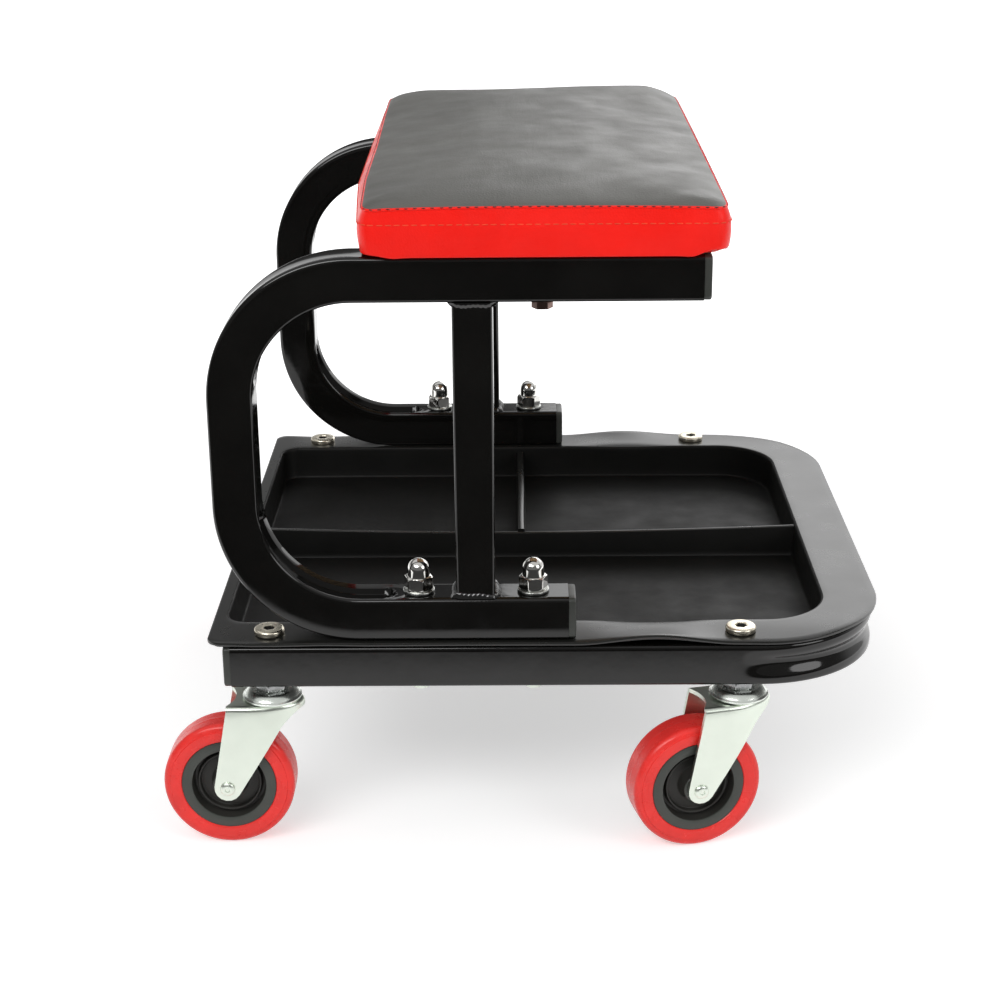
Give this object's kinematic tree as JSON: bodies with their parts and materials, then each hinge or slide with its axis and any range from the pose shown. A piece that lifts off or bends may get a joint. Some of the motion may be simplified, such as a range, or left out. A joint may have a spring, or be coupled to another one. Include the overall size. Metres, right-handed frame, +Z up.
{
  "type": "rolling creeper seat",
  "caption": "Low rolling workshop seat: a padded board on two C-shaped tube frames over a U-shaped base tube with a divided tool tray and swivel casters.",
  "frame": {"origin": "on the floor below the middle of the bounding box", "axes": "+Z up, +X to the front, where the base is rounded, +Y to the seat's left"},
  "size_m": [0.4186, 0.3968, 0.3813],
  "materials": {
    "black_tube": "gloss",
    "black_cap": "satin",
    "tray_plastic": "satin",
    "zinc_steel": "satin",
    "chrome": "polished",
    "nickel": "satin",
    "plywood": "matte",
    "foam": "matte",
    "black_vinyl": "satin",
    "red_vinyl": "satin",
    "red_tyre": "satin",
    "hub_plastic": "satin",
    "ball_steel": "polished"
  },
  "bodies": {
    "root": {"base_tube": "black_tube", "base_end_caps": "black_cap", "tool_tray": "tray_plastic", "right_side_frame": "black_tube", "left_side_frame": "black_tube", "right_post": "black_tube", "left_post": "black_tube", "right_post_welds": "black_tube", "left_post_welds": "black_tube", "arm_end_caps": "black_cap", "foot_end_caps": "black_cap", "frame_bolts": "zinc_steel", "cap_nut_washers": "chrome", "cap_nuts": "chrome", "socket_nuts": "nickel", "seat_board": "plywood", "seat_foam": "foam", "seat_top_cover": "black_vinyl", "seat_side_band": "red_vinyl", "seat_bolts": "zinc_steel", "seat_bolt_washers": "zinc_steel", "tee_nuts": "zinc_steel", "staples": "zinc_steel", "caster_stems": "zinc_steel", "stem_lock_nuts": "zinc_steel", "upper_races": "zinc_steel", "bearing_balls": "ball_steel", "lower_races": "zinc_steel"},
    "rear_right_swivel": {"rear_right_fork": "zinc_steel", "rear_right_axle": "zinc_steel", "rear_right_sleeve": "zinc_steel"},
    "rear_right_wheel": {"rear_right_hub": "hub_plastic", "rear_right_tyre": "red_tyre"},
    "rear_left_swivel": {"rear_left_fork": "zinc_steel", "rear_left_axle": "zinc_steel", "rear_left_sleeve": "zinc_steel"},
    "rear_left_wheel": {"rear_left_hub": "hub_plastic", "rear_left_tyre": "red_tyre"},
    "front_right_swivel": {"front_right_fork": "zinc_steel", "front_right_axle": "zinc_steel", "front_right_sleeve": "zinc_steel"},
    "front_right_wheel": {"front_right_hub": "hub_plastic", "front_right_tyre": "red_tyre"},
    "front_left_swivel": {"front_left_fork": "zinc_steel", "front_left_axle": "zinc_steel", "front_left_sleeve": "zinc_steel"},
    "front_left_wheel": {"front_left_hub": "hub_plastic", "front_left_tyre": "red_tyre"}
  },
  "joints": [
    {"name": "rear_right_swivel", "type": "hinge", "parent": "root", "child": "rear_right_swivel", "pos_m": [-0.1447, -0.1725, 0.0896], "axis": [0, 0, 1], "continuous": true},
    {"name": "rear_right_wheel", "type": "hinge", "parent": "rear_right_swivel", "child": "rear_right_wheel", "pos_m": [-0.1712, -0.1725, 0.0381], "axis": [0, 1, 0], "continuous": true},
    {"name": "rear_left_swivel", "type": "hinge", "parent": "root", "child": "rear_left_swivel", "pos_m": [-0.1447, 0.1725, 0.0896], "axis": [0, 0, 1], "continuous": true},
    {"name": "rear_left_wheel", "type": "hinge", "parent": "rear_left_swivel", "child": "rear_left_wheel", "pos_m": [-0.1712, 0.1725, 0.0381], "axis": [0, 1, 0], "continuous": true},
    {"name": "front_right_swivel", "type": "hinge", "parent": "root", "child": "front_right_swivel", "pos_m": [0.1233, -0.1725, 0.0896], "axis": [0, 0, 1], "continuous": true},
    {"name": "front_right_wheel", "type": "hinge", "parent": "front_right_swivel", "child": "front_right_wheel", "pos_m": [0.09759, -0.17891, 0.0381], "axis": [-0.2419, 0.9703, 0], "continuous": true},
    {"name": "front_left_swivel", "type": "hinge", "parent": "root", "child": "front_left_swivel", "pos_m": [0.1233, 0.1725, 0.0896], "axis": [0, 0, 1], "continuous": true},
    {"name": "front_left_wheel", "type": "hinge", "parent": "front_left_swivel", "child": "front_left_wheel", "pos_m": [0.09759, 0.17891, 0.0381], "axis": [0.2419, 0.9703, 0], "continuous": true}
  ]
}
